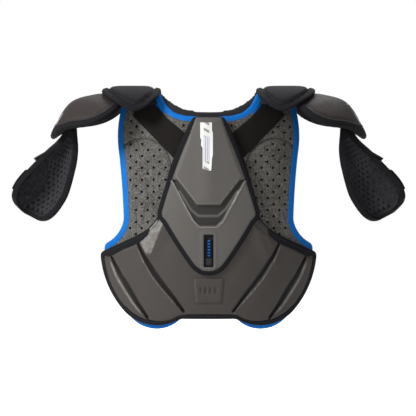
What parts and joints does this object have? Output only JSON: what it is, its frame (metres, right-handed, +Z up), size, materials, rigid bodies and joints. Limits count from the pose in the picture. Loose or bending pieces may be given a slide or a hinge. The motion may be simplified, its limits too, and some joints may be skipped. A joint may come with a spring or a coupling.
{
  "type": "hockey shoulder pads",
  "caption": "Padded torso harness with back guard, spine plate, front panel, hinged shoulder caps, shoulder flaps and bicep guards for ice hockey.",
  "frame": {"origin": "where the pads rest on the shoulders: middle of the width and depth, underside of the yokes", "axes": "+X towards the wearer's right, +Y towards the chest, +Z up"},
  "size_m": [0.7118, 0.2361, 0.429],
  "materials": {
    "perforated_liner": "perforated knitted polyester over foam",
    "blue_binding": "folded knitted binding tape",
    "moulded_foam": "matt compression-moulded EVA foam",
    "moulded_shell": "satin moulded polyethylene skin",
    "black_binding": "folded knitted binding tape",
    "silver_label": "printed film",
    "woven_tag": "woven damask",
    "hook_and_loop": "brushed loop pile",
    "elastic_strap": "ribbed woven elastic",
    "dark_mesh_liner": "knitted mesh over foam",
    "flap_fabric": "coated woven nylon over foam",
    "knit_padding": "brushed knit over foam"
  },
  "bodies": {
    "torso": {"back_liner": "perforated_liner", "back_liner_binding": "blue_binding", "left_rear_strap": "elastic_strap", "right_rear_strap": "elastic_strap", "back_guard": "moulded_foam", "back_guard_binding": "black_binding", "spine_plate": "moulded_foam", "spine_plate_binding": "black_binding", "spine_label": "silver_label", "spine_tag": "woven_tag", "collar_pad": "knit_padding", "left_yoke": "knit_padding", "right_yoke": "knit_padding"},
    "front_panel": {"front_liner": "perforated_liner", "front_binding": "blue_binding", "sternum_plate": "moulded_foam", "left_chest_plate": "moulded_foam", "right_chest_plate": "moulded_foam", "belly_plate": "moulded_foam"},
    "left_flap": {"left_shoulder_flap": "flap_fabric", "left_shoulder_flap_binding": "black_binding"},
    "left_cap": {"left_cap_shell": "moulded_shell", "left_cap_liner": "dark_mesh_liner", "left_cap_binding": "black_binding"},
    "left_arm": {"left_arm_plate": "moulded_shell", "left_arm_liner": "dark_mesh_liner", "left_arm_patch": "hook_and_loop", "left_arm_binding": "black_binding"},
    "left_arm_band": {"left_arm_strap": "elastic_strap", "left_arm_strap_tab": "hook_and_loop"},
    "left_side_band": {"left_side_strap": "elastic_strap", "left_side_strap_tab": "hook_and_loop"},
    "right_flap": {"right_shoulder_flap": "flap_fabric", "right_shoulder_flap_binding": "black_binding"},
    "right_cap": {"right_cap_shell": "moulded_shell", "right_cap_liner": "dark_mesh_liner", "right_cap_binding": "black_binding"},
    "right_arm": {"right_arm_plate": "moulded_shell", "right_arm_liner": "dark_mesh_liner", "right_arm_patch": "hook_and_loop", "right_arm_binding": "black_binding"},
    "right_arm_band": {"right_arm_strap": "elastic_strap", "right_arm_strap_tab": "hook_and_loop"},
    "right_side_band": {"right_side_strap": "elastic_strap", "right_side_strap_tab": "hook_and_loop"}
  },
  "joints": [
    {"name": "front_panel_swing", "type": "hinge", "parent": "torso", "child": "front_panel", "pos_m": [0, 0.045, -0.016], "axis": [1, 0, 0], "range_deg": [0, 25]},
    {"name": "left_flap_lift", "type": "hinge", "parent": "torso", "child": "left_flap", "pos_m": [-0.082, 0, 0.014], "axis": [0, 1, 0], "range_deg": [0, 45]},
    {"name": "right_flap_lift", "type": "hinge", "parent": "torso", "child": "right_flap", "pos_m": [0.082, 0, 0.014], "axis": [0, -1, 0], "range_deg": [0, 45]},
    {"name": "left_cap_swing", "type": "hinge", "parent": "torso", "child": "left_cap", "pos_m": [-0.152, 0, -0.005], "axis": [0, 1, 0], "range_deg": [-15, 5]},
    {"name": "right_cap_swing", "type": "hinge", "parent": "torso", "child": "right_cap", "pos_m": [0.152, 0, -0.005], "axis": [0, -1, 0], "range_deg": [-15, 5]},
    {"name": "left_arm_guard_swing", "type": "hinge", "parent": "left_cap", "child": "left_arm", "pos_m": [-0.252, -0.01, -0.066], "axis": [0, 1, 0], "range_deg": [-10, 15]},
    {"name": "right_arm_guard_swing", "type": "hinge", "parent": "right_cap", "child": "right_arm", "pos_m": [0.252, -0.01, -0.066], "axis": [0, -1, 0], "range_deg": [-10, 15]},
    {"name": "left_arm_strap_turn", "type": "hinge", "parent": "left_arm", "child": "left_arm_band", "pos_m": [-0.2943, 0.0283, -0.1246], "axis": [-0.4305, 0, -0.9026], "range_deg": [0, 70]},
    {"name": "right_arm_strap_turn", "type": "hinge", "parent": "right_arm", "child": "right_arm_band", "pos_m": [0.2943, 0.0283, -0.1246], "axis": [-0.4305, 0, 0.9026], "range_deg": [0, 70]},
    {"name": "left_side_strap_turn", "type": "hinge", "parent": "torso", "child": "left_side_band", "pos_m": [-0.17, -0.014, -0.278], "axis": [0, 0, -1], "range_deg": [0, 45]},
    {"name": "right_side_strap_turn", "type": "hinge", "parent": "torso", "child": "right_side_band", "pos_m": [0.17, -0.014, -0.278], "axis": [0, 0, 1], "range_deg": [0, 45]}
  ]
}
